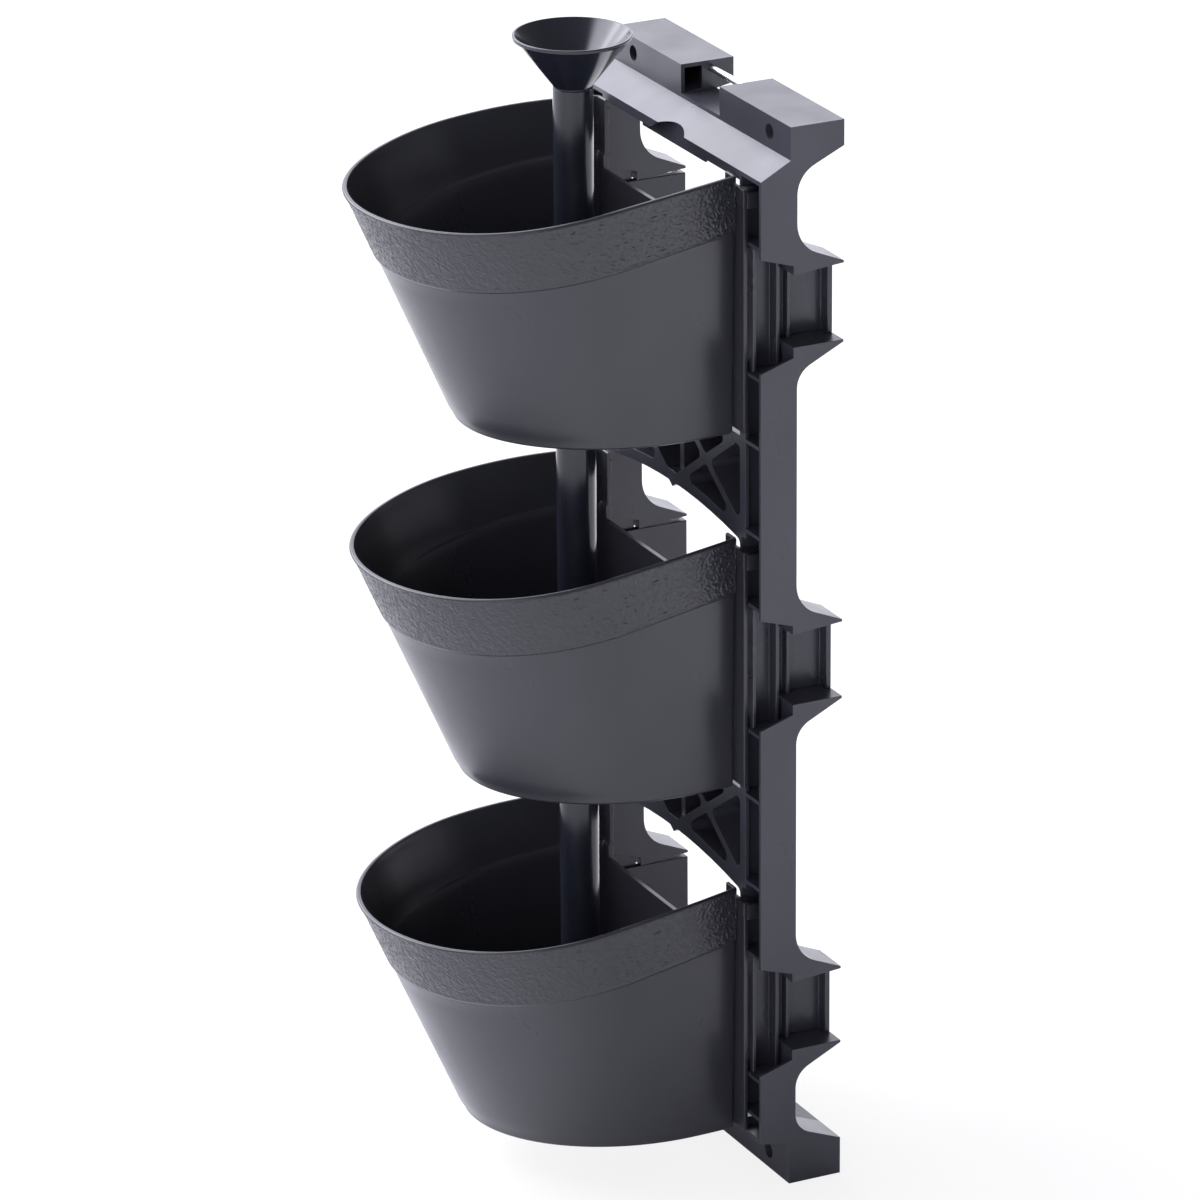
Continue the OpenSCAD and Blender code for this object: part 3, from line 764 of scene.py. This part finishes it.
# Angles from a panel's middle at which its fade starts and ends
PANEL_CORE = radians(14)
PANEL_EDGE = radians(28)

# Name, direction from the object and brightness of each soft round panel of the studio
PANELS = [
    ("left_high", (-0.84, -0.23, 0.5), 5.8),
    ("left_back_high", (-0.84, 0.41, 0.36), 1.6),
    ("front_left", (-0.5, -0.85, 0.2), 2.3),
    ("right_front", (0.7, -0.7, 0.3), 1.8),
    ("left_back_level", (-0.83, 0.53, 0.1), 0.6),
    ("top_front_left", (-0.45, -0.5, 0.75), 7.5),
]


def white_sheet(tree):
    """Glow of the floor behind and left of the object, which the grazing sides mirror."""
    spot = tree.nodes.new("ShaderNodeTexCoord")
    split = tree.nodes.new("ShaderNodeSeparateXYZ")
    tree.links.new(spot.outputs["Object"], split.inputs["Vector"])
    share = tree.nodes.new("ShaderNodeMath")
    share.operation = "MULTIPLY"
    tree.links.new(remap(tree, split.outputs["X"], 1.0, 0.0, *SHEET_X), share.inputs[0])
    tree.links.new(remap(tree, split.outputs["Y"], 0.0, SHEET_LEVEL, *SHEET_Y), share.inputs[1])
    sheet = tree.nodes.new("ShaderNodeEmission")
    tree.links.new(share.outputs[0], sheet.inputs["Strength"])
    return sheet.outputs["Emission"]


def floor_material():
    """Pale floor, mostly plain white to the camera and lit like any surface for the rest."""
    material, tree, bsdf = shader("pale_floor")
    tint = noise_texture(tree, FLOOR_CELLS, detail=3)
    tree.links.new(colour_ramp(tree, tint, FLOOR_DARK, FLOOR_LIGHT), bsdf.inputs["Base Color"])
    bsdf.inputs["Roughness"].default_value = FLOOR_ROUGHNESS
    glow = tree.nodes.new("ShaderNodeEmission")
    glow.inputs["Strength"].default_value = 1.0
    path = tree.nodes.new("ShaderNodeLightPath")
    share = tree.nodes.new("ShaderNodeMath")
    share.operation = "MULTIPLY"
    share.inputs[1].default_value = CAMERA_SHARE
    tree.links.new(path.outputs["Is Camera Ray"], share.inputs[0])
    lit = tree.nodes.new("ShaderNodeAddShader")
    tree.links.new(bsdf.outputs["BSDF"], lit.inputs[0])
    tree.links.new(white_sheet(tree), lit.inputs[1])
    mix = tree.nodes.new("ShaderNodeMixShader")
    tree.links.new(share.outputs[0], mix.inputs["Fac"])
    tree.links.new(lit.outputs["Shader"], mix.inputs[1])
    tree.links.new(glow.outputs["Emission"], mix.inputs[2])
    out = [node for node in tree.nodes if node.type == "OUTPUT_MATERIAL"][0]
    tree.links.new(mix.outputs["Shader"], out.inputs["Surface"])
    return material


def pale_floor():
    mesh = bpy.data.meshes.new("studio_floor")
    bm = bmesh.new()
    bmesh.ops.create_grid(bm, x_segments=8, y_segments=8, size=FLOOR_SIZE)
    bmesh.ops.translate(bm, vec=(0, 0, FLOOR_Z), verts=bm.verts)
    bm.to_mesh(mesh)
    bm.free()
    floor = add_object("studio_floor", mesh, floor_material())


def panel_glow(tree, sky, direction, strength):
    """Brightness that one panel adds to the studio."""
    facing = tree.nodes.new("ShaderNodeVectorMath")
    facing.operation = "DOT_PRODUCT"
    facing.inputs[1].default_value = Vector(direction).normalized()
    tree.links.new(sky.outputs["Generated"], facing.inputs[0])
    fade = tree.nodes.new("ShaderNodeMapRange")
    fade.interpolation_type = "SMOOTHSTEP"
    fade.inputs["From Min"].default_value = cos(PANEL_EDGE)
    fade.inputs["From Max"].default_value = cos(PANEL_CORE)
    fade.inputs["To Min"].default_value = 0.0
    fade.inputs["To Max"].default_value = strength
    tree.links.new(facing.outputs["Value"], fade.inputs["Value"])
    return fade.outputs["Result"]


def studio_glow(tree):
    """The studio's plain level with all its panels added."""
    sky = tree.nodes.new("ShaderNodeTexCoord")
    level = tree.nodes.new("ShaderNodeValue")
    level.outputs[0].default_value = WORLD_LEVEL
    total = level.outputs[0]
    for name, direction, strength in PANELS:
        add = tree.nodes.new("ShaderNodeMath")
        add.operation = "ADD"
        add.name = name
        tree.links.new(panel_glow(tree, sky, direction, strength), add.inputs[0])
        tree.links.new(total, add.inputs[1])
        total = add.outputs[0]
    return total


def studio_world():
    """White to the camera, and a studio of soft panels to every other ray."""
    world = bpy.data.worlds.new("studio")
    scene.world = world
    world.use_nodes = True
    tree = world.node_tree
    tree.nodes.clear()
    surround = tree.nodes.new("ShaderNodeBackground")
    surround.inputs["Color"].default_value = STUDIO_COLOUR
    tree.links.new(studio_glow(tree), surround.inputs["Strength"])
    backdrop = tree.nodes.new("ShaderNodeBackground")
    backdrop.inputs["Strength"].default_value = 1.0
    backdrop.inputs["Color"].default_value = (1, 1, 1, 1)
    ray = tree.nodes.new("ShaderNodeLightPath")
    choose = tree.nodes.new("ShaderNodeMixShader")
    world_out = tree.nodes.new("ShaderNodeOutputWorld")
    tree.links.new(ray.outputs["Is Camera Ray"], choose.inputs["Fac"])
    tree.links.new(surround.outputs["Background"], choose.inputs[1])
    tree.links.new(backdrop.outputs["Background"], choose.inputs[2])
    tree.links.new(choose.outputs["Shader"], world_out.inputs["Surface"])


pale_floor()
studio_world()


# Camera, solved from the straight edges of the rack

AZIMUTH = radians(63.722)
ELEVATION = radians(20.993)
ROLL = radians(-0.441)
AIM = Vector((-0.0368, -0.0900, -0.3387))
DISTANCE = 4.9134
SENSOR = 36.0
LENS = 232.83


def photo_camera():
    flat = cos(ELEVATION)
    back = Vector((sin(AZIMUTH) * flat, -cos(AZIMUTH) * flat, sin(ELEVATION)))
    level_right = Vector((cos(AZIMUTH), sin(AZIMUTH), 0))
    level_up = back.cross(level_right)
    right = cos(ROLL) * level_right + sin(ROLL) * level_up
    up = cos(ROLL) * level_up - sin(ROLL) * level_right
    data = bpy.data.cameras.new("camera")
    data.sensor_fit = "HORIZONTAL"
    data.sensor_width = SENSOR
    data.lens = LENS
    data.clip_start = 0.1
    data.clip_end = 60.0
    camera = bpy.data.objects.new("camera", data)
    turn = Matrix((right, up, back)).transposed().to_4x4()
    camera.matrix_world = Matrix.Translation(AIM + DISTANCE * back) @ turn
    scene.collection.objects.link(camera)
    scene.camera = camera


photo_camera()
scene.view_settings.view_transform = "Standard"
scene.view_settings.look = "None"
